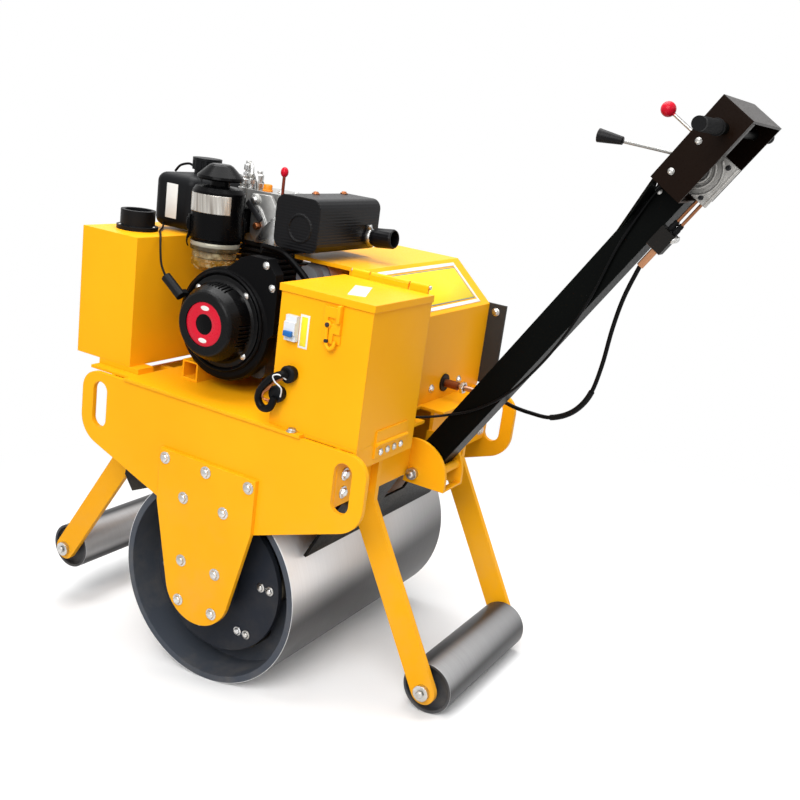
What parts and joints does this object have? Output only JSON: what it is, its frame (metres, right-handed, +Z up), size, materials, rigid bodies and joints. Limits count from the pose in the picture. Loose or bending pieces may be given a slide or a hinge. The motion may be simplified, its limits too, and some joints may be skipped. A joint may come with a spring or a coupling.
{
  "type": "walk-behind road roller",
  "caption": "Walk-behind single-drum vibratory road roller with a diesel engine, a lifting handle, support rollers on legs and a hinged battery box lid.",
  "frame": {"origin": "on the ground at the middle of the bounding box, with the drum and the rear support roller standing on the ground", "axes": "+X forward, away from the handle; +Y to the left; +Z up"},
  "size_m": [1.5126, 0.66, 1.154],
  "materials": {
    "yellow_painted_metal": "gloss paint",
    "zinc_brushed_steel": "satin bare metal",
    "dark_cast_iron": "satin paint",
    "black_painted_metal": "gloss paint",
    "steel_brushed_steel": "satin bare metal",
    "dark_painted_metal": "gloss paint",
    "black_rubber": "matt",
    "black_matte_plastic": "matt moulded",
    "black_gloss_plastic": "gloss moulded",
    "white_matte_plastic": "matt moulded",
    "copper_brass": "worn plating",
    "dark_aluminium": "as cast",
    "alu_aluminium": "as cast",
    "black_aluminium": "as cast",
    "amber_glass": "clear tinted",
    "red_gloss_plastic": "gloss moulded",
    "dark_brushed_steel": "satin bare metal"
  },
  "bodies": {
    "frame": {"side_plates": "yellow_painted_metal", "hanger_plates": "yellow_painted_metal", "deck": "yellow_painted_metal", "cross_plates": "yellow_painted_metal", "handle_clevis": "yellow_painted_metal", "pivot_pin": "zinc_brushed_steel", "drum_hubs": "dark_cast_iron", "leg_brackets": "yellow_painted_metal", "front_legs": "yellow_painted_metal", "rear_legs": "yellow_painted_metal", "roller_axles": "zinc_brushed_steel", "scrapers": "black_painted_metal", "front_tank": "yellow_painted_metal", "tank_feet": "yellow_painted_metal", "tank_filler": "black_matte_plastic", "battery_box": "yellow_painted_metal", "battery": "black_gloss_plastic", "box_hinge": "yellow_painted_metal", "breaker": "white_matte_plastic", "connectors": "black_matte_plastic", "lid_latch": "yellow_painted_metal", "hood": "yellow_painted_metal", "hood_side_plate": "dark_painted_metal", "pump_block": "dark_cast_iron", "cable_gland": "copper_brass", "engine_rails": "yellow_painted_metal", "crankcase": "dark_aluminium", "engine_cylinder": "alu_aluminium", "fan_shroud": "black_aluminium", "recoil_starter": "black_aluminium", "recoil_grip": "black_matte_plastic", "air_cleaner": "black_matte_plastic", "air_bowl": "amber_glass", "fuel_tank": "black_matte_plastic", "fuel_cap": "black_matte_plastic", "muffler": "black_painted_metal", "starter_motor": "dark_cast_iron", "decompressor": "red_gloss_plastic", "control_cable": "black_rubber", "throttle_cable": "black_rubber"},
    "drum": {"drum_shell": "steel_brushed_steel", "hub_discs": "dark_painted_metal", "drum_buffers": "black_rubber"},
    "front_roller_body": {"front_roller": "steel_brushed_steel"},
    "rear_roller_body": {"rear_roller": "steel_brushed_steel"},
    "handle": {"handle_arm": "black_painted_metal", "control_head": "black_painted_metal", "grip_bar": "dark_brushed_steel", "grips": "black_rubber", "drive_lever": "black_gloss_plastic", "throttle_lever": "red_gloss_plastic", "lever_plate": "zinc_brushed_steel", "cable_clamp": "copper_brass"},
    "lid": {"battery_lid": "yellow_painted_metal"}
  },
  "joints": [
    {"name": "drum_spin", "type": "hinge", "parent": "frame", "child": "drum", "pos_m": [0.17496, 0, 0.2125], "axis": [0, 1, 0], "continuous": true},
    {"name": "front_roller_spin", "type": "hinge", "parent": "frame", "child": "front_roller_body", "pos_m": [0.70429, 0, 0.13634], "axis": [0, 1, 0], "continuous": true},
    {"name": "rear_roller_spin", "type": "hinge", "parent": "frame", "child": "rear_roller_body", "pos_m": [-0.26367, 0, 0.052], "axis": [0, 1, 0], "continuous": true},
    {"name": "handle_lift", "type": "hinge", "parent": "frame", "child": "handle", "pos_m": [-0.14642, 0, 0.43225], "axis": [0, 1, 0], "range_deg": [0, 35], "deforming": ["control_cable", "throttle_cable"]},
    {"name": "battery_lid_hinge", "type": "hinge", "parent": "frame", "child": "lid", "pos_m": [-0.11733, 0.099, 0.82478], "axis": [0.9925, 0, 0.1226], "range_deg": [0, 90]}
  ]
}
